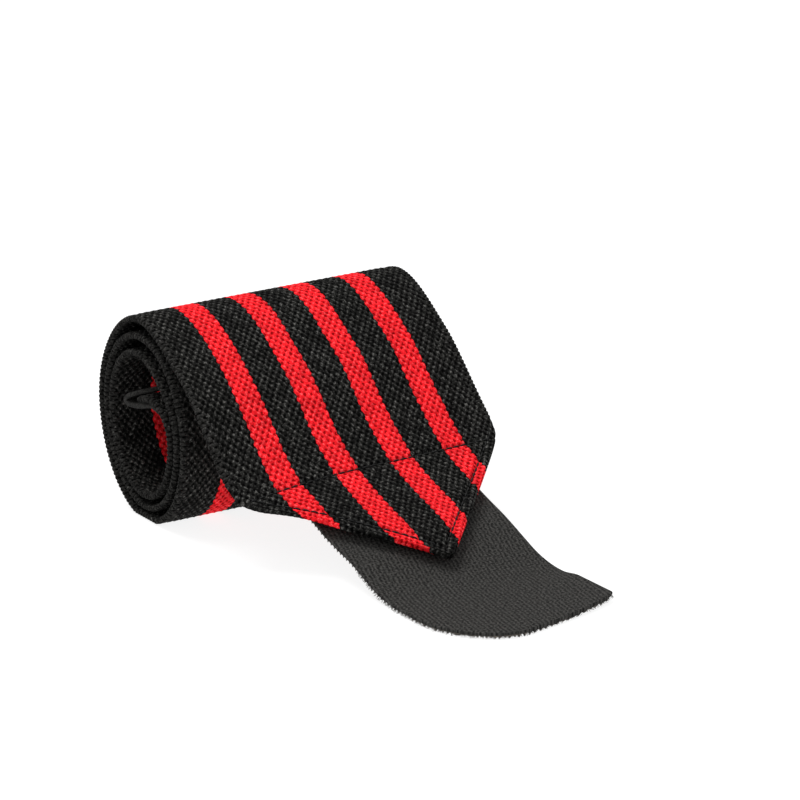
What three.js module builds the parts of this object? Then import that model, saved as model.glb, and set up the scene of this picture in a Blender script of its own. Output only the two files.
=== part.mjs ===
// An elastic wrist wrap, half unrolled: a knitted band wound into a loose roll that lies on its
// side, its outer end laid forward and folded to a point, a strip of hook tape sewn under the
// point, and a tape loop for the thumb sewn to the inner end.
// Millimetres, +Z up. The roll's axis runs along X and the laid-out stretch leads towards -Y.
// The origin is the middle of the footprint, on the surface that the wrap lies on.
import * as THREE from "three";

// Knitted band
const bandWidth = 80;
const bandThickness = 2.1;
const foldedLayer = 1.4; // a corner folded under the point, pressed by its stitches
const foldStep = 23; // length in which the underside comes down onto the folded corners
const pointHeight = 38.4; // from the cross seam to the tip
const tipWidth = 3;

// Roll, measured over its outermost turn
const rollWidth = 43.5;
const rollHeight = 53.8;
const rollSettle = 0.8; // how far the round of the lowest turn is pressed flat
const rollLean = 2.1; // how far the foot of the roll lies forward of its top
const rollFlare = 0.016; // share by which the far end of the roll stands taller

// Laid-out stretch
const stretchReach = 82.5; // level distance from the roll's middle to the tip
const tipLift = 2.3; // height kept under the tape where the tip presses on it
const cornerDroop = 3.1; // how far the near corner of the point hangs below the middle
const droopRun = 29; // length before the cross seam in which that droop grows
const droopFall = 20; // length past the cross seam in which it dies out

// Hook tape
const hookTapeWidth = 48.2;
const hookTapeShift = 0.9; // its middle lies this far to the far side of the band's
const hookTapeThickness = 1.6; // backing and hooks
const hookTapeHold = 31; // length sewn under the point
const hookTapeFree = 42.0; // length past the tip
const hookTapeNearDepth = 21; // length in which its end rounds off to the near edge
const hookTapeFarDepth = 7.8; // length in which its end runs back to the far corner
const hookTapeFarBend = 1.6; // how strongly that side of the end is bent
const hookTapeApexShare = 0.37; // where across the tape its end reaches furthest
const hookTapeCornerLift = 0.9; // how far its far corner stands off the surface

// Thumb loop
const loopTapeWidth = 8;
const loopTapeThickness = 1.2;
const loopTapeInset = 1.2; // from the band's near edge
const loopReach = 8.8; // how far the bight stands out from the band's inner end
const loopRise = 1.1; // how far its furthest place lies above that end's line
const loopLegOver = 6;
const loopLegUnder = 9;

const seatGap = 0.3; // clearance between pieces that lie on each other

// The winding, from the band's inner end outwards. "turn" counts the turns back from the top of
// the outermost one, and "reach" is a share of the roll's half size in that direction.
const windingRows = [
  { turn: 3.03, reach: 0.19 },
  { turn: 2.96, reach: 0.22 },
  { turn: 2.9, reach: 0.29 },
  { turn: 2.84, reach: 0.41 },
  { turn: 2.75, reach: 0.655 },
  { turn: 2.62, reach: 0.735 },
  { turn: 2.5, reach: 0.765 },
  { turn: 2.25, reach: 0.745 },
  { turn: 2.0, reach: 0.65 },
  { turn: 1.875, reach: 0.65 },
  { turn: 1.75, reach: 0.83 },
  { turn: 1.5, reach: 0.878 },
  { turn: 1.25, reach: 0.872 },
  { turn: 1.0, reach: 0.825 },
  { turn: 0.875, reach: 0.895 },
  { turn: 0.75, reach: 1.0 },
  { turn: 0.5, reach: 1.0 },
  { turn: 0.25, reach: 1.0 },
  { turn: 0.125, reach: 0.965 },
  { turn: 0.0, reach: 1.0 },
];

// The stretch, from the roll's top to the tip. "along" is a share of stretchReach and "drop" a
// share of the fall to the tip. The first row lies behind the top, so that the top is level.
const stretchRows = [
  { along: -0.257, drop: 0.225 },
  { along: 0.0, drop: 0.0 },
  { along: 0.257, drop: 0.225 },
  { along: 0.476, drop: 0.578 },
  { along: 0.588, drop: 0.72 },
  { along: 0.732, drop: 0.828 },
  { along: 0.865, drop: 0.906 },
  { along: 1.0, drop: 1.0 },
];

const stationStep = 3.4; // spacing of the sections along the band
const pointStep = 2.4;
const tapeStep = 2.6;

// Level of the tip's middle line: the tape, the folded corner and half the band lie under it.
const stackUnderTip = hookTapeThickness + seatGap + foldedLayer + bandThickness / 2;
const tipLevel = tipLift + stackUnderTip;
const topLevel = rollHeight - bandThickness / 2;

// A value between the rows of a table: a cubic through them, each row's slope set by its two
// neighbours. The rows run up or down in their key.
function between(rows, key, value, at) {
  const rising = rows[1][key] > rows[0][key];
  const passed = (row) => (rising ? row[key] >= at : row[key] <= at);
  const found = rows.findIndex(passed);
  const high = Math.max(1, found < 0 ? rows.length - 1 : found);
  const low = high - 1;
  const slope = (row) => {
    const before = rows[Math.max(0, row - 1)];
    const after = rows[Math.min(rows.length - 1, row + 1)];
    return (after[value] - before[value]) / (after[key] - before[key]);
  };
  const span = rows[high][key] - rows[low][key];
  const part = (at - rows[low][key]) / span;
  const rest = 1 - part;
  const start = (1 + 2 * part) * rest * rest * rows[low][value];
  const end = (3 - 2 * part) * part * part * rows[high][value];
  const leave = part * rest * rest * span * slope(low);
  const arrive = -part * part * rest * span * slope(high);
  return start + end + leave + arrive;
}

function smooth(share) {
  const held = THREE.MathUtils.clamp(share, 0, 1);
  return held * held * (3 - 2 * held);
}

// The band's middle line in the plane across the roll: the winding as an oval spiral that leans
// and whose lowest turn is pressed flat, and then the stretch down to the tip.
class BandLine extends THREE.Curve {
  constructor() {
    super();
    this.arcLengthDivisions = 3000;
    this.turns = windingRows[0].turn;
  }

  getPoint(share, target = new THREE.Vector3()) {
    const travelled = share * (this.turns + 1);
    if (travelled >= this.turns) {
      const along = travelled - this.turns;
      const drop = between(stretchRows, "along", "drop", along);
      const level = topLevel - drop * (topLevel - tipLevel);
      return target.set(0, -along * stretchReach, level);
    }
    const turn = this.turns - travelled;
    const reach = between(windingRows, "turn", "reach", turn);
    const angle = 2 * Math.PI * turn;
    const halfWidth = (rollWidth - bandThickness) / 2;
    const halfHeight = (rollHeight + rollSettle - bandThickness) / 2;
    const level = (rollHeight - rollSettle) / 2 + Math.cos(angle) * halfHeight * reach;
    const lean = rollLean * (1 - level / topLevel) ** 2;
    const back = Math.sin(angle) * halfWidth * reach - lean;
    return target.set(0, back, Math.max(level, bandThickness / 2));
  }
}

const bandLine = new BandLine();
const bandLength = bandLine.getLength();
const seamAt = bandLength - pointHeight;

// The middle line at a length from the inner end, with the direction out of the band's outer face.
function onBand(length) {
  const share = THREE.MathUtils.clamp(length / bandLength, 0, 1);
  const point = bandLine.getPointAt(share);
  const way = bandLine.getTangentAt(share);
  return { point, way, normal: new THREE.Vector3(0, way.z, -way.y) };
}

// How far the near half hangs below the middle: most at the cross seam, and nothing near the tip.
function droopAt(length, across) {
  const grown = smooth((length - seamAt + droopRun) / droopRun);
  const left = smooth(1 - (length - seamAt) / droopFall);
  const toNear = Math.max(0, 1 - across / (bandWidth / 2));
  return cornerDroop * Math.min(grown, left) * toNear * toNear;
}

function stepsBetween(start, end, step) {
  const count = Math.max(1, Math.ceil((end - start) / step));
  return Array.from({ length: count + 1 }, (_, index) => start + ((end - start) * index) / count);
}

// A closed strip: at each station a row across the strip, on its outer and on its inner face.
// A station has a middle point and a normal, the edges "near" and "far" along X, the depths
// "over" and "under" the middle line, and "sag", how far each place across it hangs.
function stripGeometry(stations, columns) {
  const positions = [];
  for (const station of stations) {
    for (const depth of [station.over, -station.under]) {
      for (let column = 0; column <= columns; column += 1) {
        const across = THREE.MathUtils.lerp(station.near, station.far, column / columns);
        const at = station.point.clone().addScaledVector(station.normal, depth);
        const level = at.z - station.sag(across);
        positions.push(across, at.y, level * (1 + (rollFlare * across) / bandWidth));
      }
    }
  }
  const row = columns + 1;
  const outer = (station, column) => station * 2 * row + column;
  const inner = (station, column) => outer(station, column) + row;
  const faces = [];
  const quad = (a, b, c, d) => faces.push(a, b, c, a, c, d);
  const last = stations.length - 1;
  for (let station = 0; station < last; station += 1) {
    const next = station + 1;
    for (let column = 0; column < columns; column += 1) {
      const side = column + 1;
      quad(outer(station, column), outer(next, column), outer(next, side), outer(station, side));
      quad(inner(station, column), inner(station, side), inner(next, side), inner(next, column));
    }
    quad(inner(station, 0), inner(next, 0), outer(next, 0), outer(station, 0));
    quad(outer(station, columns), outer(next, columns), inner(next, columns), inner(station, columns));
  }
  for (let column = 0; column < columns; column += 1) {
    const side = column + 1;
    quad(outer(0, column), outer(0, side), inner(0, side), inner(0, column));
    quad(outer(last, column), inner(last, column), inner(last, side), outer(last, side));
  }
  const geometry = new THREE.BufferGeometry();
  geometry.setAttribute("position", new THREE.Float32BufferAttribute(positions, 3));
  geometry.setIndex(faces);
  geometry.computeVertexNormals();
  return geometry;
}

function bandGeometry() {
  const lengths = [
    ...stepsBetween(0, seamAt, stationStep).slice(0, -1),
    ...stepsBetween(seamAt, bandLength, pointStep),
  ];
  const stations = lengths.map((length) => {
    const { point, normal } = onBand(length);
    const pastSeam = Math.max(0, length - seamAt);
    const hem = (pastSeam / pointHeight) * ((bandWidth - tipWidth) / 2);
    const folded = foldedLayer * smooth(pastSeam / foldStep);
    return {
      point,
      normal,
      sag: (across) => droopAt(length, across),
      near: hem,
      far: bandWidth - hem,
      over: bandThickness / 2,
      under: bandThickness / 2 + folded,
    };
  });
  return stripGeometry(stations, 8);
}

// The tape follows the point's underside, then lands on the surface in an arc and runs out flat.
function hookTapeGeometry() {
  const offset = -(stackUnderTip - hookTapeThickness / 2);
  const held = stepsBetween(bandLength - hookTapeHold, bandLength, tapeStep).map((length) => {
    const { point, normal } = onBand(length);
    const sag = (across) => droopAt(length, across);
    return { point: point.addScaledVector(normal, offset), normal, length, sag };
  });
  const tip = held[held.length - 1];
  const slope = Math.atan2(-tip.normal.y, tip.normal.z);
  const landingRadius = (tip.point.z - hookTapeThickness / 2) / (1 - Math.cos(slope));
  const landing = landingRadius * slope;
  const free = (run) => {
    const turned = Math.min(run, landing) / landingRadius;
    const angle = slope - turned;
    const forward = landingRadius * (Math.sin(slope) - Math.sin(angle)) + Math.max(0, run - landing);
    const fall = landingRadius * (Math.cos(angle) - Math.cos(slope));
    return {
      point: new THREE.Vector3(0, tip.point.y - forward, tip.point.z - fall),
      normal: new THREE.Vector3(0, -Math.sin(angle), Math.cos(angle)),
      length: bandLength + run,
    };
  };
  const roundFrom = hookTapeFree - hookTapeNearDepth;
  const endShares = stepsBetween(0, Math.PI / 2 - 0.06, 0.14).map(Math.sin);
  const runs = [
    ...stepsBetween(0, landing, tapeStep).slice(1),
    ...stepsBetween(landing, roundFrom, 2 * tapeStep).slice(1),
    ...endShares.slice(1).map((share) => roundFrom + hookTapeNearDepth * share),
  ];
  const nearEdge = (bandWidth - hookTapeWidth) / 2 + hookTapeShift;
  const farEdge = nearEdge + hookTapeWidth;
  const apex = nearEdge + hookTapeApexShare * hookTapeWidth;
  const cornerSag = (length) => (across) => {
    const grown = smooth((length - bandLength - landing) / (roundFrom - landing));
    const toFar = Math.max(0, (across - apex) / (farEdge - apex));
    return -hookTapeCornerLift * grown * toFar * toFar;
  };
  const stations = [...held, ...runs.map(free)].map((station) => {
    const left = bandLength + hookTapeFree - station.length;
    const nearShare = 1 - Math.min(1, left / hookTapeNearDepth);
    const farShare = 1 - Math.min(1, left / hookTapeFarDepth);
    return {
      sag: cornerSag(station.length),
      ...station,
      near: apex - (apex - nearEdge) * Math.sqrt(1 - nearShare ** 2),
      far: apex + (farEdge - apex) * (1 - farShare ** hookTapeFarBend),
      over: hookTapeThickness / 2,
      under: hookTapeThickness / 2,
    };
  });
  return stripGeometry(stations, 6);
}

// The loop's tape runs in along the band's outer face, bends round past its inner end in an oval
// bight and runs back along the inner face.
function thumbLoopGeometry() {
  const offset = bandThickness / 2 + seatGap + loopTapeThickness / 2;
  const leg = (side) => (length) => {
    const { point, normal } = onBand(length);
    return point.addScaledVector(normal, side * offset);
  };
  const end = onBand(0);
  const bight = stepsBetween(0, Math.PI, Math.PI / 10).map((angle) =>
    end.point
      .clone()
      .addScaledVector(end.normal, offset * Math.cos(angle) + loopRise * Math.sin(angle))
      .addScaledVector(end.way, -loopReach * Math.sin(angle)),
  );
  const points = [
    ...stepsBetween(0, loopLegOver, 2).reverse().map(leg(1)),
    ...bight.slice(1, -1),
    ...stepsBetween(0, loopLegUnder, 2).map(leg(-1)),
  ];
  const stations = points.map((point, index) => {
    const before = points[Math.max(0, index - 1)];
    const after = points[Math.min(points.length - 1, index + 1)];
    const way = after.clone().sub(before).normalize();
    return {
      point,
      normal: new THREE.Vector3(0, way.z, -way.y),
      sag: () => 0,
      near: loopTapeInset,
      far: loopTapeInset + loopTapeWidth,
      over: loopTapeThickness / 2,
      under: loopTapeThickness / 2,
    };
  });
  return stripGeometry(stations, 1);
}

function cloth(name, geometry, colour, roughness) {
  const material = new THREE.MeshStandardMaterial({ color: colour, roughness, metalness: 0 });
  const mesh = new THREE.Mesh(geometry, material);
  mesh.name = name;
  return mesh;
}

const wrap = new THREE.Group();
wrap.add(cloth("band", bandGeometry(), 0x1c1c1d, 0.9));
wrap.add(cloth("hook_tab", hookTapeGeometry(), 0x333334, 0.75));
wrap.add(cloth("thumb_loop", thumbLoopGeometry(), 0x2b2b2c, 0.7));
const footprint = new THREE.Box3().setFromObject(wrap).getCenter(new THREE.Vector3());
wrap.position.set(-footprint.x, -footprint.y, 0);

export default wrap;
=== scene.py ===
"""An elastic wrist wrap: its knitted band is rolled up on its side, and the pointed end with its
hook tape is laid forward. The script follows the wrap as it is made up, in metres."""

import bpy
import numpy as np
from mathutils import Matrix


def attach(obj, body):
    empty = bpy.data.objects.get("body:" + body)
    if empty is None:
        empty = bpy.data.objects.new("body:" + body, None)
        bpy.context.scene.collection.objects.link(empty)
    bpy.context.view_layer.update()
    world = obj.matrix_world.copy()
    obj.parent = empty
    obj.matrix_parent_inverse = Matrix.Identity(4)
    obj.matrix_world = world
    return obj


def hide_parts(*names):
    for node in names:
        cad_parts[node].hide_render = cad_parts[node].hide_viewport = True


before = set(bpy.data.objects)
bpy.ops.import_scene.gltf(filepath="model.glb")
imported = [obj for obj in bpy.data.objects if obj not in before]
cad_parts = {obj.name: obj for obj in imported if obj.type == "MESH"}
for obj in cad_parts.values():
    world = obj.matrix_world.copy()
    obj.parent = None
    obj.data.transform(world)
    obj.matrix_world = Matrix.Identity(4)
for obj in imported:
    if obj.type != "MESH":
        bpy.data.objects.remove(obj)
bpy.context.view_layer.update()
mm = 0.001

# The view. The wrap is seen from in front and above, past the near end of its roll, through a
# long lens. The camera is set out from a place on the ground below the roll's top line.
roll_top_y = 50.829 * mm
view_from_x = -1.164 * mm
view_to_right = 34.133 * mm
view_up = 23.632 * mm
view_turn = np.radians(33.45)
view_fall = np.radians(17.62)
view_distance = 970.9 * mm
view_focus = 3710
picture_width = 800
film_width = 36
level_way = np.array([np.sin(view_turn), np.cos(view_turn), 0.0])
to_right = np.array([np.cos(view_turn), -np.sin(view_turn), 0.0])
forward = level_way * np.cos(view_fall) - np.array([0, 0, np.sin(view_fall)])
upward = level_way * np.sin(view_fall) + np.array([0, 0, np.cos(view_fall)])
stand = (
    np.array([view_from_x, roll_top_y, 0])
    + view_to_right * to_right
    + view_up * upward
    - view_distance * forward
)
camera = bpy.data.objects.new("camera", bpy.data.cameras.new("camera"))
bpy.context.scene.collection.objects.link(camera)
camera.data.sensor_width = film_width
camera.data.lens = view_focus / picture_width * film_width
camera.data.clip_start = 0.05
camera.data.clip_end = 20
turned = Matrix([[*row, 0] for row in np.stack([to_right, upward, -forward], 1)] + [[0, 0, 0, 1]])
camera.matrix_world = Matrix.Translation(stand) @ turned
bpy.context.scene.camera = camera
bpy.context.scene.view_settings.view_transform = "Standard"

# The band's line. The band is one strip of knitted elastic, wound from its inner end into a loose
# oval roll of three turns that leans a little. Its lowest turn is pressed flat where it lies, and
# its last 10 cm run off the top of the roll and down to the tip.
band_width = 80 * mm
band_thickness = 2.1 * mm
roll_width = 43.5 * mm
roll_height = 53.8 * mm
roll_settle = 0.8 * mm
roll_lean = 2.1 * mm
roll_flare = 0.016
stretch_reach = 82.5 * mm
tip_lift = 2.3 * mm
folded_layer = 1.4 * mm
fold_step = 23 * mm
hook_tape_thickness = 1.6 * mm
seat_gap = 0.3 * mm
point_height = 38.4 * mm
tip_width = 3 * mm
corner_droop = 3.9 * mm
droop_run = 29 * mm
droop_fall = 20 * mm
hem_droop = 0.7 * mm
hem_droop_width = 10 * mm
hem_droop_grow = 6 * mm
hem_droop_from = 22 * mm
hem_droop_fade = 10 * mm
line_places = 9000
line_edge = 0.05 * mm
# turns back from the roll's top, and the reach there as a share of the roll's half size
winding_rows = [
    (3.03, 0.19), (2.96, 0.22), (2.9, 0.29), (2.84, 0.41), (2.75, 0.655), (2.62, 0.735),
    (2.5, 0.765), (2.25, 0.745), (2.0, 0.65), (1.875, 0.65), (1.75, 0.83), (1.5, 0.878),
    (1.25, 0.872), (1.0, 0.825), (0.875, 0.895), (0.75, 1.0), (0.5, 1.0), (0.25, 1.0),
    (0.125, 0.965), (0.0, 1.0),
]
# shares of the stretch's reach, and the share of its fall to the tip that is behind there
stretch_rows = [
    (-0.257, 0.225), (0.0, 0.0), (0.257, 0.225), (0.476, 0.578), (0.588, 0.72),
    (0.732, 0.828), (0.865, 0.906), (1.0, 1.0),
]
under_tip = hook_tape_thickness + seat_gap + folded_layer + band_thickness / 2
tip_level = tip_lift + under_tip
top_level = roll_height - band_thickness / 2


def between(rows, place):
    """Values between the rows of a table: on each span the cubic through its two rows, whose
    slopes there are those of the straight lines between the rows' neighbours."""
    keys, values = np.array(sorted(rows)).T
    slopes = np.empty_like(values)
    slopes[1:-1] = (values[2:] - values[:-2]) / (keys[2:] - keys[:-2])
    slopes[0] = (values[1] - values[0]) / (keys[1] - keys[0])
    slopes[-1] = (values[-1] - values[-2]) / (keys[-1] - keys[-2])
    low = np.clip(np.searchsorted(keys, place) - 1, 0, len(keys) - 2)
    span = keys[low + 1] - keys[low]
    part = (place - keys[low]) / span
    rest = 1 - part
    leaving = (1 + 2 * part) * rest**2 * values[low] + part * rest**2 * span * slopes[low]
    arriving = (3 - 2 * part) * part**2 * values[low + 1] - part**2 * rest * span * slopes[low + 1]
    return leaving + arriving


def smooth(share):
    """A share eased in and out: three squares less two cubes."""
    held = np.clip(share, 0, 1)
    return held**2 * (3 - 2 * held)


def band_line():
    """The band's middle line: its length so far, how far forward of the roll's middle it is, and
    its height. The turns are an oval whose size comes from the winding rows and whose foot leans
    forward, and the stretch falls from the roll's top by the stretch rows."""
    turns = winding_rows[0][0]
    travelled = np.linspace(0, turns + 1, line_places)
    turn = np.clip(turns - travelled, 0, None)
    reach = between(winding_rows, turn)
    half_height = (roll_height + roll_settle - band_thickness) / 2
    level = (roll_height - roll_settle) / 2 + np.cos(2 * np.pi * turn) * half_height * reach
    lean = roll_lean * (1 - level / top_level) ** 2
    ahead = lean - np.sin(2 * np.pi * turn) * (roll_width - band_thickness) / 2 * reach
    level = np.maximum(level, band_thickness / 2)
    along = np.maximum(travelled - turns, 0)
    laid = travelled >= turns
    fall = between(stretch_rows, along) * (top_level - tip_level)
    ahead = np.where(laid, along * stretch_reach, ahead)
    level = np.where(laid, top_level - fall, level)
    steps = np.hypot(np.diff(ahead), np.diff(level))
    return travelled, np.concatenate([[0], np.cumsum(steps)]), ahead, level


line_turns, line_length, line_ahead, line_level = band_line()
band_length = line_length[-1]
seam_at = band_length - point_height


def droop(along, across):
    """How far the near half of the point hangs: the square of the share of the way from the
    middle to the near edge, most at the cross seam and nothing near the tip. Along the near fold
    it hangs a little more, by the square of the nearness to it."""
    past = along - seam_at
    grown = smooth((past + droop_run) / droop_run)
    left = smooth(1 - past / droop_fall)
    to_near = np.maximum(0, 1 - across / (band_width / 2))
    hem_held = smooth(past / hem_droop_grow) * smooth(1 - (past - hem_droop_from) / hem_droop_fade)
    fold = (band_width - tip_width) / 2 * np.clip(past / point_height, 0, 1)
    to_hem = np.clip(1 - (across - fold) / hem_droop_width, 0, 1)
    return corner_droop * np.minimum(grown, left) * to_near**2 + hem_droop * hem_held * to_hem**2


def flared(level, across):
    """Levels that grow in even steps from the near edge to the far one."""
    return level * (1 + roll_flare * across / band_width)


def on_band(along, across, lift):
    """Points on the band: a length along its middle line, a width from its near edge, and a lift
    out of the middle line along its normal, which is the line's direction turned by a quarter.
    Past the line's ends the points run on straight."""
    held = np.clip(along, line_edge, band_length - line_edge)
    way = np.stack([
        np.interp(held + line_edge, line_length, values)
        - np.interp(held - line_edge, line_length, values)
        for values in (line_ahead, line_level)
    ])
    way = way / np.hypot(*way)
    ahead = np.interp(held, line_length, line_ahead) + (along - held) * way[0] - lift * way[1]
    level = np.interp(held, line_length, line_level) + (along - held) * way[1] + lift * way[0]
    level = flared(level - droop(held, across), across)
    return np.stack([across - band_width / 2, roll_top_y - ahead, level], -1)


# The knit. Two sets of stitches stand between each other like the black and the white squares of
# a board, with a small hole under each and four stripes in red. At the point the corners are
# folded under and three seams press the knit in, and the band's inner end is turned in once.
course_pair = 2.427 * mm
wale_pair = 1.928 * mm
wale_start = 0.0365
stripe_start = 6.25
stripe_wales = 3.5
stripe_repeat = 8.5
last_red_wale = 35.3
knit_depth = 0.32 * mm
edge_round = 0.9 * mm
edge_thin = 0.32 * mm
edge_thin_run = 2.6 * mm
wall_groove = 0.3
wall_groove_turn = 0.4
corner_round = 3.6 * mm
fold_thin = 1.5 * mm
fold_thin_run = 3.0 * mm
fold_thin_from = 12 * mm
hem_seam_inset = 2.9 * mm
cross_seam_inset = 0.9 * mm
cross_seam_dip = 0.8 * mm
seam_press = 0.6 * mm
seam_press_run = 0.6 * mm
end_hem_length = 9 * mm
end_hem_from = 9.6 * mm
end_hem_ramp = 1.5 * mm
end_hem_layer = 1.3 * mm
hem_slope = (band_width - tip_width) / 2 / point_height
wall_gather = 0.3
# how far the counts stray, in stitches, and the lengths over which their waves run
sway = 0.05
sway_long, sway_short, sway_tilt = 9.1 * mm, 3.9 * mm, 11 * mm
drift_wide, drift_narrow = 0.10, 0.06
drift_wide_run, drift_tilt, drift_narrow_run = 7.3 * mm, 17 * mm, 2.9 * mm
# noise over the stitches: its scale, detail and roughness
stray_noise = (1.6, 2.0, 0.5)
fibre_noise = (9.0, 3.0, 0.6)
patch_noise = (0.35, 2.0, 0.5)
fleck_noise = (4.0, 2.0, 0.6)
yarn_stray = 0.34
stripe_tooth = 0.11
strands = 5
strand_lean = 0.8
# how far towards the roll each stitch's painted highlight sits, and the spans that ease in the
# painted shade of the holes and the painted highlight
light_side = 0.07
hole_span = (-0.15, -0.75)
highlight_span = (0.4, 1.5)
# each yarn in its own colour and with its painted highlight, and then in the painted shade of its
# holes
black_yarn = ((0.0100, 0.0100, 0.0093, 1), (0.088, 0.086, 0.081, 1))
black_hole = (0.0004, 0.0004, 0.0004, 1)
scarlet_yarn = ((0.86, 0.014, 0.021, 1), (0.98, 0.100, 0.110, 1))
scarlet_hole = (0.27, 0.002, 0.003, 1)
knit_bump = 0.3 * mm


def stitch_count(along, across):
    """The stitches counted across the band and along it. Slow waves shift them a little, as the
    elastic never lies quite even."""
    swayed = np.sin(along / sway_long) + np.sin(along / sway_short + across / sway_tilt)
    drifted = drift_wide * np.sin(across / drift_wide_run + along / drift_tilt)
    drifted = drifted + drift_narrow * np.sin(across / drift_narrow_run)
    return across / wale_pair + wale_start + sway * swayed, along / course_pair + drifted


def stitch_height(wales, courses):
    """1 on a stitch and -1 in a hole: the cosine of the wale times the cosine of the course."""
    return np.cos(2 * np.pi * wales) * np.cos(2 * np.pi * courses)


def fold_edge(along):
    """How far in from the near edge the fold of the point is: nothing up to the cross seam, then
    in proportion to the way past it, with the corner between rounded as a hyperbola."""
    past = along - seam_at
    rounded = (past + np.hypot(past, corner_round)) / 2
    return np.minimum(rounded * hem_slope, (band_width - tip_width) / 2)


def seam_distance(along, across):
    """How far a point of the band is from the nearest of the three seams of its pointed end."""
    past = along - seam_at
    from_edge = np.minimum(across, band_width - across) - past * hem_slope
    hem = np.abs(from_edge / np.hypot(1, hem_slope) - hem_seam_inset)
    hem = np.where(past > cross_seam_inset, hem, band_length)
    dip = cross_seam_dip * np.sin(np.pi * np.clip(across / band_width, 0, 1))
    return np.minimum(hem, np.abs(past - cross_seam_inset - dip))


def closed_rows(name, points, courses, wales):
    """A mesh from rows of points that each run once round a section. Neighbouring rows are joined
    by quads and each end row is closed by one face. The stitch counts are its UV map."""
    rows, ring = points.shape[:2]
    here = np.arange(rows * ring).reshape(rows, ring)
    after = np.roll(here, -1, axis=1)
    quads = np.stack([here[:-1], here[1:], after[1:], after[:-1]], -1).reshape(-1, 4)
    corners = np.concatenate([quads.ravel(), here[0], here[-1][::-1]])
    starts = np.concatenate([np.arange(len(quads)) * 4, len(quads) * 4 + np.array([0, ring])])
    mesh = bpy.data.meshes.new(name)
    mesh.vertices.add(rows * ring)
    mesh.vertices.foreach_set("co", points.astype(np.float32).ravel())
    mesh.loops.add(len(corners))
    mesh.loops.foreach_set("vertex_index", corners.astype(np.int32))
    mesh.polygons.add(len(starts))
    mesh.polygons.foreach_set("loop_start", starts.astype(np.int32))
    mesh.update(calc_edges=True)
    mesh.validate()
    mesh.polygons.foreach_set("use_smooth", np.ones(len(mesh.polygons), bool))
    counts = np.stack([wales, courses], -1).reshape(-1, 2)
    at = np.empty(len(mesh.loops), np.int32)
    mesh.loops.foreach_get("vertex_index", at)
    stitches = mesh.uv_layers.new(name="stitches")
    stitches.uv.foreach_set("vector", counts[at].astype(np.float32).ravel())
    piece = bpy.data.objects.new(name, mesh)
    bpy.context.scene.collection.objects.link(piece)
    return piece


def ring_of(columns_over, columns_under, wall_steps=7):
    """Once round the band's section: the share of the way across, how far the point stands out
    past a face's edge, its height from -1 to 1, and how far round the wall it is, from 0 on the
    upper face to 1 on the lower. The faces are straight, and each wall is a half round with a
    groove along its middle."""
    turn = np.linspace(np.pi / 2, -np.pi / 2, wall_steps + 2)[1:-1]
    out = np.cos(turn) * (1 - wall_groove * np.exp(-((turn / wall_groove_turn) ** 2)))
    over, under = np.linspace(0, 1, columns_over + 1), np.linspace(1, 0, columns_under + 1)
    wall = np.ones(wall_steps)
    share = np.concatenate([over, wall, under, 0 * wall])
    side = np.concatenate([0 * over, out, 0 * under, -out[::-1]])
    height = np.concatenate([0 * over + 1, np.sin(turn), 0 * under - 1, -np.sin(turn)])
    round_wall = np.concatenate([0 * over, 0.5 - turn / np.pi, 0 * under + 1, 0.5 + turn / np.pi])
    return share, side, height, round_wall


def knitted_part(name, alongs, columns_over, columns_under):
    """A part of the band between two lengths. Past the cross seam its edges run in to the tip and
    the folded corners thicken it below. There the stitches run on round the fold, and under it
    they lie mirrored in the fold's line."""
    share, side, height, round_wall = ring_of(columns_over, columns_under)
    along = np.repeat(alongs[:, None], len(share), 1)
    past = np.maximum(0, along - seam_at)
    near = fold_edge(along)
    inner = near + edge_round
    across = inner + share * (band_width - 2 * inner) + side * edge_round
    from_edge = np.minimum(across, band_width - across)
    folded = folded_layer * smooth(past / fold_step)
    wales, courses = stitch_count(along, across)
    beyond = round_wall * (band_thickness + folded) * wall_gather
    under = height <= -1
    unfolded = np.where(under, past, near) - beyond
    unfolded = np.where(share < 0.5, unfolded, band_width - unfolded)
    on = np.where(under, from_edge, past) + beyond
    turned_wales, turned_courses = stitch_count(seam_at + on, unfolded)
    corner = (past > 0) & (round_wall > 0)
    wales = np.where(corner, turned_wales, wales)
    courses = np.where(corner, turned_courses, courses)
    sink = knit_depth * (1 - stitch_height(wales, courses)) / 2
    sink = sink + edge_thin * np.exp(-((from_edge / edge_thin_run) ** 2)) * (past <= 0)
    near_fold = np.exp(-(((from_edge - near) / fold_thin_run) ** 2))
    thin = fold_thin * smooth(past / fold_thin_from) * near_fold
    press = seam_press * np.exp(-((seam_distance(along, across) / seam_press_run) ** 2))
    lift = height * (band_thickness / 2 - sink) - folded * (1 - height) / 2
    lift = lift - press * (height > 0) + thin * (1 - height) / 2
    turned_in = smooth((end_hem_length - along) / end_hem_ramp)
    turned_in = turned_in * smooth((across - end_hem_from) / end_hem_ramp)
    lift = lift - end_hem_layer * turned_in * (1 - height) / 2
    return closed_rows(name, on_band(along, across, lift), courses, wales)


def shader_node(tree, kind, feeds=(), **settings):
    """A node with its settings, and its inputs fed in order by sockets or numbers."""
    made = tree.nodes.new("ShaderNode" + kind)
    for setting, value in settings.items():
        setattr(made, setting, value)
    for place, feed in enumerate(feeds):
        if isinstance(feed, bpy.types.NodeSocket):
            tree.links.new(feed, made.inputs[place])
        elif feed is not None:
            made.inputs[place].default_value = feed
    return made


def maths(tree, operation, *feeds):
    return shader_node(tree, "Math", feeds, operation=operation).outputs[0]


def ease(tree, value, low, high):
    """0 at low and 1 at high, eased between."""
    feeds = (value, low, high, 0.0, 1.0)
    return shader_node(tree, "MapRange", feeds, interpolation_type="SMOOTHSTEP").outputs[0]


def blend_of(tree, share, first, second, kind="MIX"):
    """One colour turning into another by a share."""
    feeds = (share, *[None] * 5, first, second)
    return shader_node(tree, "Mix", feeds, data_type="RGBA", blend_type=kind).outputs[2]


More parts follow.
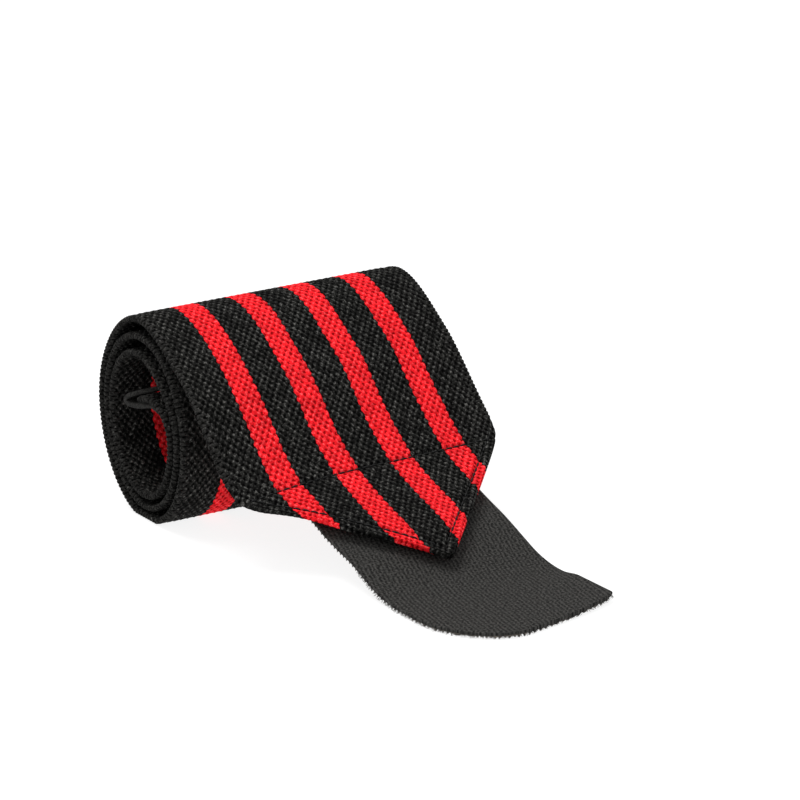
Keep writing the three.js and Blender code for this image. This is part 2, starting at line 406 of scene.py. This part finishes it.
def noise(tree, place, scale, detail, roughness):
    """A noise over places: its value and its colour."""
    return shader_node(tree, "TexNoise", [place, None, scale, detail, roughness]).outputs


def stitch_counts(tree):
    """The two counts of the stitches' map, the first across the cloth."""
    counts = shader_node(tree, "UVMap", uv_map="stitches").outputs[0]
    return shader_node(tree, "SeparateXYZ", [counts]).outputs[:2]


def wave(tree, count):
    """The cosine of a count of stitches."""
    return maths(tree, "COSINE", maths(tree, "MULTIPLY", count, 2 * np.pi))


def new_finish(name, roughness, specular):
    """An empty finish: its material, its nodes and its shader."""
    made = bpy.data.materials.new(name)
    made.use_nodes = True
    shader = made.node_tree.nodes["Principled BSDF"]
    shader.inputs["Roughness"].default_value = roughness
    shader.inputs["Specular IOR Level"].default_value = specular
    return made, made.node_tree, shader


def show(tree, shader, colour, relief, depth):
    """Gives a finish its colour, and its relief at a depth."""
    bump = shader_node(tree, "Bump")
    bump.inputs["Distance"].default_value = depth
    tree.links.new(colour, shader.inputs["Base Color"])
    tree.links.new(relief, bump.inputs["Height"])
    tree.links.new(bump.outputs[0], shader.inputs["Normal"])


def knit_finish():
    """The knit's colours and its yarn. Each stitch strays a little from its count, by a noise. A
    stitch's own half wale says whether it is red, and is pushed to and fro by the wave of the
    course, so a stripe's edge runs in small teeth. The holes are painted dark as shade, each
    stitch has a painted highlight on its side towards the roll, where the light from above falls,
    no two stitches are alike, and fine slanting strands and noise lie on them."""
    finish, tree, shader = new_finish("knit", roughness=0.9, specular=0.03)
    counts = stitch_counts(tree)
    place = shader_node(tree, "CombineXYZ", [*counts, 0.0]).outputs[0]
    stray = shader_node(tree, "SeparateXYZ", [noise(tree, place, *stray_noise)[1]]).outputs[:2]
    wale, course = (
        maths(tree, "ADD", count, maths(tree, "MULTIPLY_ADD", by, yarn_stray, -yarn_stray / 2))
        for count, by in zip(counts, stray)
    )
    wale_wave, course_wave = wave(tree, wale), wave(tree, course)
    height = maths(tree, "MULTIPLY", wale_wave, course_wave)
    sideways = maths(tree, "SINE", maths(tree, "MULTIPLY", wale, 2 * np.pi))
    push = maths(tree, "MULTIPLY", maths(tree, "MULTIPLY", sideways, course_wave), -stripe_tooth)
    own = maths(tree, "MULTIPLY", maths(tree, "ADD", wale, push), 2.0)
    own = maths(tree, "MULTIPLY", maths(tree, "ROUND", own), 0.5)
    past_start = maths(tree, "SUBTRACT", own, stripe_start)
    in_repeat = maths(tree, "FLOORED_MODULO", past_start, stripe_repeat)
    red = maths(tree, "LESS_THAN", in_repeat, stripe_wales)
    red = maths(tree, "MULTIPLY", red, maths(tree, "GREATER_THAN", past_start, 0.0))
    red = maths(tree, "MULTIPLY", red, maths(tree, "LESS_THAN", own, last_red_wale))
    fibre = noise(tree, place, *fibre_noise)[0]
    patch = noise(tree, place, *patch_noise)[0]
    fleck = maths(tree, "SUBTRACT", noise(tree, place, *fleck_noise)[0], 0.5)
    slant = maths(tree, "MULTIPLY_ADD", wale, strand_lean, course)
    strand = maths(tree, "SINE", maths(tree, "MULTIPLY", slant, 2 * np.pi * strands))
    # A painted highlight on the side of each stitch towards the roll, where the light from above
    # falls.
    lit = maths(tree, "MULTIPLY", wale_wave, wave(tree, maths(tree, "ADD", course, light_side)))
    lit = maths(tree, "MULTIPLY_ADD", fleck, 4.2, maths(tree, "MULTIPLY", lit, 0.62))
    # Painted shade in the holes between the stitches.
    hole = ease(tree, maths(tree, "MULTIPLY_ADD", fleck, 3.2, height), *hole_span)
    # back: the share of painted highlight at each place, not a colour of the yarn.
    back = ease(tree, maths(tree, "MULTIPLY_ADD", fibre, 0.6, lit), *highlight_span)
    # Each yarn's colour with its painted highlight, darkened by the painted shade of the holes.
    black = blend_of(tree, hole, blend_of(tree, back, *black_yarn), black_hole)
    scarlet = blend_of(tree, hole, blend_of(tree, back, *scarlet_yarn), scarlet_hole)
    one_way = maths(tree, "ROUND", maths(tree, "ADD", wale, course))
    other_way = maths(tree, "ROUND", maths(tree, "SUBTRACT", wale, course))
    stitch = shader_node(tree, "CombineXYZ", [one_way, other_way, 0.0]).outputs[0]
    own_shade = shader_node(tree, "TexWhiteNoise", [stitch]).outputs[0]
    uneven = maths(tree, "MULTIPLY_ADD", red, -0.7, 1.1)
    own_shade = maths(tree, "MULTIPLY", maths(tree, "SUBTRACT", own_shade, 0.5), uneven)
    shade = maths(tree, "MULTIPLY_ADD", patch, 0.5, maths(tree, "ADD", own_shade, 0.75))
    grey = shader_node(tree, "CombineXYZ", [shade, shade, shade]).outputs[0]
    yarn = blend_of(tree, 1.0, blend_of(tree, red, black, scarlet), grey, kind="MULTIPLY")
    relief = maths(tree, "MULTIPLY_ADD", strand, 0.08, maths(tree, "MULTIPLY", height, 0.5))
    relief = maths(tree, "MULTIPLY_ADD", fibre, 0.5, relief)
    show(tree, shader, yarn, relief, knit_bump)
    return finish


def steps_between(first, last, rows_to_course):
    """Even lengths along the band, with so many rows to a pair of courses."""
    count = int(round((last - first) / (course_pair / rows_to_course)))
    return np.linspace(first, last, count + 1)


knit = knit_finish()
floor_contact = np.interp(winding_rows[0][0] - 0.5, line_turns, line_length)
rolled = knitted_part("band_rolled", steps_between(0, floor_contact, 4), 120, 60)
laid = knitted_part("band_laid", steps_between(floor_contact, seam_at, 6), 160, 76)
point = knitted_part("band_point", steps_between(seam_at, band_length, 6), 240, 120)
for part in (rolled, laid, point):
    part.data.materials.append(knit)
    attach(part, "root")
    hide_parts("band")

# The selvedges. At both edges of the band the knit turns back on itself in short flat loops that
# clasp the edge, one to a stitch and every second one reaching further in.
loop_pitch = course_pair / 2
loops_end = 4 * mm
long_loop = 2.6 * mm
short_loop = 1.5 * mm
loop_half_width = 0.44 * mm
loop_half_height = 0.20 * mm
loop_sink = 0.02 * mm
loop_hug = 0.9
round_share = 0.45
loop_blunt = 6
loop_tip = 0.02


def tubes(name, points, inside_out=False):
    """A mesh of many like tubes from one array of points: tube, row along it, place round it.
    Neighbouring rows are joined by quads and both ends are closed."""
    count, rows, ring = points.shape[:3]
    here = np.arange(count * rows * ring).reshape(count, rows, ring)
    after = np.roll(here, -1, axis=2)
    quads = np.stack([here[:, :-1], here[:, 1:], after[:, 1:], after[:, :-1]], -1).reshape(-1, 4)
    ends = np.concatenate([here[:, 0], here[:, -1, ::-1]])
    if inside_out:
        quads, ends = quads[:, ::-1], ends[:, ::-1]
    mesh = bpy.data.meshes.new(name)
    mesh.from_pydata(points.reshape(-1, 3).tolist(), [], quads.tolist() + ends.tolist())
    mesh.polygons.foreach_set("use_smooth", np.ones(len(mesh.polygons), bool))
    piece = bpy.data.objects.new(name, mesh)
    bpy.context.scene.collection.objects.link(piece)
    return piece


def clasping_loops(name, far, sides=5):
    """Loops round one edge. Each is a flat tube whose middle line runs in over the upper face,
    half round the edge and in again below it, with a narrow point at both ends."""
    count = int((seam_at - loops_end) / loop_pitch)
    middle = (np.arange(count) + 0.5) * loop_pitch
    inset = np.where(np.arange(count) % 2 == 0, long_loop, short_loop)
    way = np.linspace(-1, 1, 11)
    on_face = np.clip((np.abs(way) - round_share) / (1 - round_share), 0, 1)
    round_edge = np.clip(way / round_share, -1, 1) * np.pi / 2
    swell = np.sqrt(np.clip(1 - np.abs(way) ** loop_blunt, 0.0, 1)) + loop_tip
    spin = np.arange(sides) / sides * 2 * np.pi
    radius = band_thickness / 2 - edge_thin - loop_sink
    reach_in = on_face * (inset[:, None] - edge_round)
    inward = edge_round + reach_in - np.cos(round_edge) * edge_round * loop_hug
    puff = np.sin(spin) * (loop_half_height * swell)[:, None]
    along = middle[:, None, None] + np.cos(spin) * (loop_half_width * swell)[:, None]
    across = inward[:, :, None] - puff * (np.cos(round_edge) * (1 - on_face))[:, None]
    lift = -np.sin(round_edge)[:, None] * (radius + puff)
    along, across, lift = np.broadcast_arrays(along, across, lift)
    across = across + fold_edge(along)
    if far:
        across = band_width - across
    return tubes(name, on_band(along, across, lift), inside_out=far)


def dark_yarn_finish(name, light, dark, scale, bump_depth, roughness=0.85, specular=0.05):
    """Spun dark yarn: two greys in a fine noise, which also roughens it."""
    finish, tree, shader = new_finish(name, roughness, specular)
    place = shader_node(tree, "TexCoord").outputs["Object"]
    fibre = noise(tree, place, scale, 3.0, 0.6)[0]
    colour = blend_of(tree, ease(tree, fibre, 0.35, 0.68), (*dark, 1), (*light, 1))
    show(tree, shader, colour, fibre, bump_depth)
    return finish


selvedge_yarn = dark_yarn_finish(
    "selvedge yarn",
    light=(0.036, 0.035, 0.033),
    dark=(0.0045, 0.0045, 0.0043),
    scale=1500.0,
    bump_depth=0.2 * mm,
)
near_selvedge = clasping_loops("near_selvedge", far=False)
far_selvedge = clasping_loops("far_selvedge", far=True)
for selvedge in (near_selvedge, far_selvedge):
    selvedge.data.materials.append(selvedge_yarn)
    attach(selvedge, "root")

# The point's seams. Black thread goes across the band where its lining ends, and down both folds,
# in stitches 2.3 mm apart that lie in the press of the knit.
stitch_pitch = 2.3 * mm
stitch_half_length = 1.1 * mm
stitch_sink = 0.45 * mm
stitch_arch = 0.20 * mm
thread_half = 0.22 * mm
thread_blunt = 1.03
cross_seam_near_end = 5.2 * mm
cross_seam_far_end = 4.6 * mm
hem_seam_start = 1.2 * mm
hem_seam_short = 1.5 * mm
hem_seams_apart = 1 * mm


def seam_stitches(name, sides=6):
    """Stitches set one behind the other along three lines. Each is a short tube that rises out of
    the knit and sinks into it again by the square of the way from its middle."""
    cross = np.arange(cross_seam_near_end, band_width - cross_seam_far_end, stitch_pitch)
    dip = cross_seam_dip * np.sin(np.pi * cross / band_width)
    lines = [(seam_at + cross_seam_inset + dip, cross, 0 * cross, 0 * cross + 1)]
    slant = np.hypot(1, hem_slope)
    run = np.arange(hem_seam_start, (point_height - hem_seam_short) * slant, stitch_pitch) / slant
    inset = run * hem_slope + hem_seam_inset * slant
    kept = inset < band_width / 2 - hem_seams_apart
    run, inset = run[kept], inset[kept]
    for across, turn in ((inset, 1), (band_width - inset, -1)):
        way_on, way_over = 0 * run + 1 / slant, 0 * run + turn * hem_slope / slant
        lines.append((seam_at + run, across, way_on, way_over))
    along, across, way_on, way_over = (
        np.concatenate(column)[:, None, None] for column in zip(*lines)
    )
    way = np.linspace(-1, 1, 7)[None, :, None]
    spin = (np.arange(sides) / sides * 2 * np.pi)[None, None, :]
    thick = thread_half * np.sqrt(thread_blunt - way**2)
    aside = thick * np.cos(spin)
    rise = band_thickness / 2 - stitch_sink - stitch_arch * way**2 + thick * np.sin(spin)
    at_along = along + way * stitch_half_length * way_on - aside * way_over
    at_across = across + way * stitch_half_length * way_over + aside * way_on
    at_along, at_across, rise = np.broadcast_arrays(at_along, at_across, rise)
    return tubes(name, on_band(at_along, at_across, rise))


seam_thread = seam_stitches("seam_thread")
seam_thread.data.materials.append(
    dark_yarn_finish(
        "seam thread",
        light=(0.008, 0.008, 0.008),
        dark=(0.002, 0.002, 0.002),
        scale=3000.0,
        bump_depth=0.05 * mm,
        roughness=0.6,
        specular=0.2,
    )
)
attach(seam_thread, "root")

# The hook tape. A strip of woven nylon tape is sewn under the point, bends down past the tip and
# lies flat, with its free end cut round. Its upper face is ribbed nearly lengthwise, and its under
# face stands full of small stiff hooks, whose cut rows stick out along its edges.
hook_tape_width = 48.2 * mm
hook_tape_shift = 0.9 * mm
hook_tape_hold = 31 * mm
hook_tape_free = 42.0 * mm
hook_tape_near_depth = 21 * mm
hook_tape_far_depth = 7.8 * mm
hook_tape_far_bend = 1.6
hook_tape_apex_share = 0.37
hook_tape_corner_lift = 0.9 * mm
hook_tape_edge_round = 0.35 * mm
hook_height = 0.85 * mm
hook_spacing = 1.5 * mm
tape_near = (band_width - hook_tape_width) / 2 + hook_tape_shift
tape_far = tape_near + hook_tape_width
tape_apex = tape_near + hook_tape_apex_share * hook_tape_width
tape_level = -(under_tip - hook_tape_thickness / 2)
end_turn = np.pi / 2 - 0.02  # how far round the free end's oval the rows go
# the back's weave, in millimetres, and its two noises
rib_way = (0.985, 0.175)
rib_pitch = 1.15
thread_pitch = 1.4
rib_waver = 1.5
waver_noise = (0.9, 3.0, 0.6)
weave_noise = (1.7, 4.0, 0.7)
weave_span = (1.1, 2.5)
weave_bump = 0.12 * mm
tape_dark = (0.0075, 0.0075, 0.0072, 1)
tape_light = (0.074, 0.072, 0.068, 1)
# the fringe's hooks, their draws in millimetres
fringe_pitch = 0.42 * mm
fringe_under = 6 * mm
fringe_margin = 0.5 * mm
least_margin = 0.3 * mm
outline_step = 0.2 * mm
hook_stray = 0.12
hook_reach = (0.25, 0.75)
hook_aside = (-0.35, 0.35)
hook_start = (0.15, 0.5)
hook_depth = (0.35, 1.0)
hook_flare = 1.3
hook_curl = 0.62
hook_radius = 0.085 * mm
hook_taper = 0.55
hook_root = 0.12 * mm


def on_tape(run, across, lift):
    """Points on the hook tape: it keeps to the point's underside up to the tip, then turns level
    in an arc that just touches the ground, and runs on straight, its far corner a little up by
    the square of the way from the end's furthest place."""
    held = np.minimum(run, hook_tape_hold)
    sewn = on_band(band_length - hook_tape_hold + held, across, tape_level + lift)
    lifts = tape_level + np.array([0, 1 * mm])
    tip, above = on_band(np.array([band_length] * 2), np.zeros(2), lifts)
    slope = np.arctan2(-(above - tip)[1], (above - tip)[2])
    radius = (tip[2] - hook_tape_thickness / 2) / (1 - np.cos(slope))
    free = run - hook_tape_hold
    angle = slope - np.clip(free, 0, radius * slope) / radius
    ahead = radius * (np.sin(slope) - np.sin(angle)) + np.maximum(0, free - radius * slope)
    fall = radius * (np.cos(angle) - np.cos(slope))
    level_run = hook_tape_free - hook_tape_near_depth - radius * slope
    to_far = np.maximum(0, (across - tape_apex) / (tape_far - tape_apex))
    raised = hook_tape_corner_lift * smooth((free - radius * slope) / level_run) * to_far**2
    loose = np.stack([
        across - band_width / 2,
        tip[1] - ahead - np.sin(angle) * lift,
        flared(tip[2] - fall + np.cos(angle) * lift + raised, across),
    ], -1)
    return np.where((free > 0)[..., None], loose, sewn)


def tape_edges(run):
    """The near and the far edge of the tape: a quarter oval on the near side of its end, and a
    power of the way to the end on the far side, which leaves a corner."""
    left = hook_tape_hold + hook_tape_free - run
    near_share = 1 - np.clip(left / hook_tape_near_depth, 0, 1)
    far_share = 1 - np.clip(left / hook_tape_far_depth, 0, 1)
    near = tape_apex - (tape_apex - tape_near) * np.sqrt(1 - near_share**2)
    far = tape_apex + (tape_far - tape_apex) * (1 - far_share**hook_tape_far_bend)
    return near, far


def tape_cloth(name):
    """The tape as rows of a rounded section. Under it stand the hooks: peaks on a staggered grid,
    by a power of the stitch height that keeps them narrow."""
    share, side, height, _ = ring_of(60, 110, 5)
    end_from = hook_tape_hold + hook_tape_free - hook_tape_near_depth
    runs = np.concatenate([
        np.linspace(0, end_from, 140)[:-1],
        end_from + hook_tape_near_depth * np.sin(np.linspace(0, end_turn, 70)),
    ])
    run = np.repeat(runs[:, None], len(share), 1)
    near, far = tape_edges(run)
    edge = np.minimum(hook_tape_edge_round, (far - near) / 2 * 0.9)
    across = near + edge + share * (far - near - 2 * edge) + side * edge
    half = (hook_tape_thickness - hook_height) / 2
    hooks = ((1 + stitch_height(across / hook_spacing, run / hook_spacing)) / 2) ** 2
    lift = hook_height / 2 + height * half - hook_height * hooks * (height <= -1)
    tape = closed_rows(name, on_tape(run, across, lift), run / mm, across / mm)
    beneath = np.tile(height <= -0.99, len(runs) - 1).astype(np.int32)
    tape.data.polygons.foreach_set("material_index", np.concatenate([beneath, [0, 0]]))
    return tape


def tape_back_finish():
    """The tape's back, in millimetres along and across: narrow ribs that run nearly lengthwise and
    waver by a noise, crossed by finer threads, in two greys."""
    finish, tree, shader = new_finish("hook tape back", roughness=0.85, specular=0.06)
    across, along = stitch_counts(tree)
    rib_on, rib_over = rib_way
    slant = maths(tree, "MULTIPLY_ADD", across, rib_on, maths(tree, "MULTIPLY", along, rib_over))
    other = maths(tree, "MULTIPLY_ADD", along, rib_on, maths(tree, "MULTIPLY", across, -rib_over))
    place = shader_node(tree, "CombineXYZ", [across, along, 0.0]).outputs[0]
    waver = noise(tree, place, *waver_noise)[0]
    slant = maths(tree, "MULTIPLY_ADD", waver, rib_waver, slant)
    rib = maths(tree, "SINE", maths(tree, "MULTIPLY", slant, 2 * np.pi / rib_pitch))
    thread = maths(tree, "SINE", maths(tree, "MULTIPLY", other, 2 * np.pi / thread_pitch))
    crossed = maths(tree, "MULTIPLY", rib, thread)
    weave = maths(tree, "MULTIPLY_ADD", crossed, 0.14, maths(tree, "MULTIPLY", rib, 0.22))
    weave = maths(tree, "MULTIPLY_ADD", noise(tree, place, *weave_noise)[0], 3.4, weave)
    colour = blend_of(tree, ease(tree, weave, *weave_span), tape_dark, tape_light)
    show(tree, shader, colour, weave, weave_bump)
    return finish


def hook_fringe(name, sides=3):
    """Hooks that stick out under the tape's free edges. Each is a thin tube that leaves the tape's
    underside outwards and down and turns up again at its end. Their places follow the outline at
    even steps, and their lengths and slants come from a seeded draw."""
    draw = np.random.default_rng(11)
    tape_end = hook_tape_hold + hook_tape_free
    to_end = np.sin(np.linspace(0.001, end_turn, 900))
    run = np.concatenate([
        np.linspace(hook_tape_hold - fringe_under, tape_end - hook_tape_near_depth, 400),
        tape_end - hook_tape_near_depth * (1 - to_end),
    ])
    near, far = tape_edges(run)
    outline_run = np.concatenate([run, run[::-1]])
    outline_across = np.concatenate([near, far[::-1]])
    steps = np.hypot(np.diff(outline_run), np.diff(outline_across))
    length = np.concatenate([[0], np.cumsum(steps)])
    at = np.arange(fringe_margin, length[-1] - fringe_margin, fringe_pitch)
    strays = draw.uniform(-hook_stray, hook_stray, 2 * len(at)) * mm
    at = np.concatenate([at, at + fringe_pitch / 2]) + strays
    at = np.clip(at, least_margin, length[-1] - least_margin)
    here, before, after = (
        [np.interp(at + step, length, line) for line in (outline_run, outline_across)]
        for step in (0, -outline_step, outline_step)
    )
    ahead_run, ahead_across = after[0] - before[0], after[1] - before[1]
    size = np.hypot(ahead_run, ahead_across) + 1e-9
    out_run, out_across = (ahead_across / size)[:, None], (-ahead_run / size)[:, None]
    way = np.linspace(0, 1, 5)[None, :]
    reach = draw.uniform(*hook_reach, len(at))[:, None] * mm
    aside = draw.uniform(*hook_aside, len(at))[:, None] * mm
    start = -draw.uniform(*hook_start, len(at))[:, None] * mm
    depth = draw.uniform(*hook_depth, len(at))[:, None]
    out = start + reach * way**hook_flare
    down = -hook_height * depth * np.sin(np.pi * way * hook_curl)
    mid_run = here[0][:, None] + out * out_run - aside * way * out_across
    mid_across = here[1][:, None] + out * out_across + aside * way * out_run
    spin = (np.arange(sides) / sides * 2 * np.pi)[None, None, :]
    thick = (hook_radius * (1 - hook_taper * way))[:, :, None]
    at_run = mid_run[:, :, None] - thick * np.cos(spin) * out_across[:, :, None]
    at_across = mid_across[:, :, None] + thick * np.cos(spin) * out_run[:, :, None]
    root = hook_height - hook_tape_thickness / 2 + hook_root
    lift = (root + down)[:, :, None] + thick * np.sin(spin)
    at_run, at_across, lift = np.broadcast_arrays(at_run, at_across, lift)
    return tubes(name, on_tape(at_run, at_across, lift))


hook_yarn = dark_yarn_finish(
    "hook yarn",
    light=(0.125, 0.108, 0.090),
    dark=(0.018, 0.016, 0.014),
    scale=1800.0,
    bump_depth=0.05 * mm,
    roughness=0.5,
    specular=0.25,
)
hook_tape = tape_cloth("hook_tape")
hook_tape.data.materials.append(tape_back_finish())
hook_tape.data.materials.append(hook_yarn)
fringe = hook_fringe("hook_fringe")
fringe.data.materials.append(hook_yarn)
for part in (hook_tape, fringe):
    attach(part, "root")
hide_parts("hook_tab")

# The thumb loop. A narrow woven tape is sewn to both faces of the band's inner end, and passes
# round that end in a small open loop inside the roll.
loop_tape_width = 8 * mm
loop_tape_thickness = 1.2 * mm
loop_tape_inset = 1.2 * mm
loop_tape_edge_round = 0.4 * mm
loop_reach = 8.8 * mm
loop_rise = 3.0 * mm
loop_leg_over = 6 * mm
loop_leg_under = 9 * mm
loop_slant = 6 * mm


def loop_line():
    """The middle line of the loop's tape, ahead and up: a leg over the band, a half oval past its
    end that rises by a sine, and a leg under it."""
    offset = band_thickness / 2 + seat_gap + loop_tape_thickness / 2
    over = np.linspace(loop_leg_over, 0, 12)
    under = np.linspace(0, loop_leg_under, 16)
    turn = np.linspace(0, np.pi, 40)[1:-1]
    along = np.concatenate([over, -loop_reach * np.sin(turn), under])
    bight = offset * np.cos(turn) + loop_rise * np.sin(turn)
    lift = np.concatenate([offset + 0 * over, bight, -offset + 0 * under])
    return along, lift


def loop_tape(name):
    """The tape as rows of a rounded section across its line; each row's normal is the line's
    direction turned by a quarter. Its upper leg slants away from the band's edge."""
    along, lift = loop_line()
    line = on_band(along, np.full_like(along, band_width / 2), lift)
    line[:, 2] = line[:, 2] / flared(1, band_width / 2)
    way = np.gradient(line, axis=0)
    way = way / np.linalg.norm(way, axis=1)[:, None]
    normal = np.stack([0 * way[:, 0], way[:, 2], -way[:, 1]], -1)
    share, side, height, _ = ring_of(12, 12, 5)
    edge = loop_tape_edge_round
    across = loop_tape_inset + edge + share * (loop_tape_width - 2 * edge) + side * edge
    half = height * loop_tape_thickness / 2
    points = line[:, None, :] + normal[:, None, :] * half[None, :, None]
    run = np.concatenate([[0], np.cumsum(np.linalg.norm(np.diff(line, axis=0), axis=1))])
    slant = loop_slant * smooth(1 - run / (loop_leg_over + loop_reach))
    points[..., 0] = across - band_width / 2 + slant[:, None]
    rows = np.repeat(run[:, None], len(share), 1)
    columns = np.repeat(across[None, :], len(run), 0)
    return closed_rows(name, points, rows / mm, columns / mm)


thumb_loop = loop_tape("thumb_loop_tape")
thumb_loop.data.materials.append(
    dark_yarn_finish(
        "loop tape",
        light=(0.040, 0.039, 0.037),
        dark=(0.010, 0.010, 0.0095),
        scale=2500.0,
        bump_depth=0.1 * mm,
    )
)
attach(thumb_loop, "root")
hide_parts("thumb_loop")

# The studio: a white sheet under the wrap that gives off a little light of its own, an even white
# sky, and a large soft lamp high behind the wrap's left with a weaker one in front.
ground_reach = 4
ground_cells = 4
ground_grey = 0.2
ground_glow = 0.87
sky_light = 0.70
lamps_face = (0, 0.02, 0.02)
white = (1, 1, 1, 1)
ground_mesh = bpy.data.meshes.new("ground")
reach = np.linspace(-ground_reach, ground_reach, ground_cells + 1)
across, back = np.meshgrid(reach, reach)
places = np.stack([across, back, 0 * across], -1).reshape(-1, 3)
corner = np.arange(places.shape[0]).reshape(ground_cells + 1, ground_cells + 1)
cells = np.stack([corner[:-1, :-1], corner[:-1, 1:], corner[1:, 1:], corner[1:, :-1]], -1)
ground_mesh.from_pydata(places.tolist(), [], cells.reshape(-1, 4).tolist())
ground = bpy.data.objects.new("ground", ground_mesh)
bpy.context.scene.collection.objects.link(ground)
paper, _, paper_shader = new_finish("white paper", roughness=0.9, specular=0.1)
paper_shader.inputs["Base Color"].default_value = (ground_grey, ground_grey, ground_grey, 1)
paper_shader.inputs["Emission Color"].default_value = white
paper_shader.inputs["Emission Strength"].default_value = ground_glow
ground.data.materials.append(paper)
sky = bpy.data.worlds.new("sky")
bpy.context.scene.world = sky
sky.use_nodes = True
sky.node_tree.nodes["Background"].inputs[0].default_value = white
sky.node_tree.nodes["Background"].inputs[1].default_value = sky_light


def soft_lamp(name, place, size, watts):
    """A round area lamp that faces the wrap."""
    lamp = bpy.data.objects.new(name, bpy.data.lights.new(name, "AREA"))
    lamp.data.shape = "DISK"
    lamp.data.size = size
    lamp.data.energy = watts
    bpy.context.scene.collection.objects.link(lamp)
    away = np.array(place) - np.array(lamps_face)
    away = away / np.linalg.norm(away)
    right = np.cross([0, 0, 1], away)
    right = right / np.linalg.norm(right)
    axes = np.stack([right, np.cross(away, right), away], 1)
    turned = Matrix([[*row, 0] for row in axes] + [[0, 0, 0, 1]])
    lamp.matrix_world = Matrix.Translation(place) @ turned


soft_lamp("high lamp", place=(-0.15, 0.35, 1.0), size=0.6, watts=9.0)
soft_lamp("front lamp", place=(-0.5, -0.9, 0.6), size=0.8, watts=1.2)
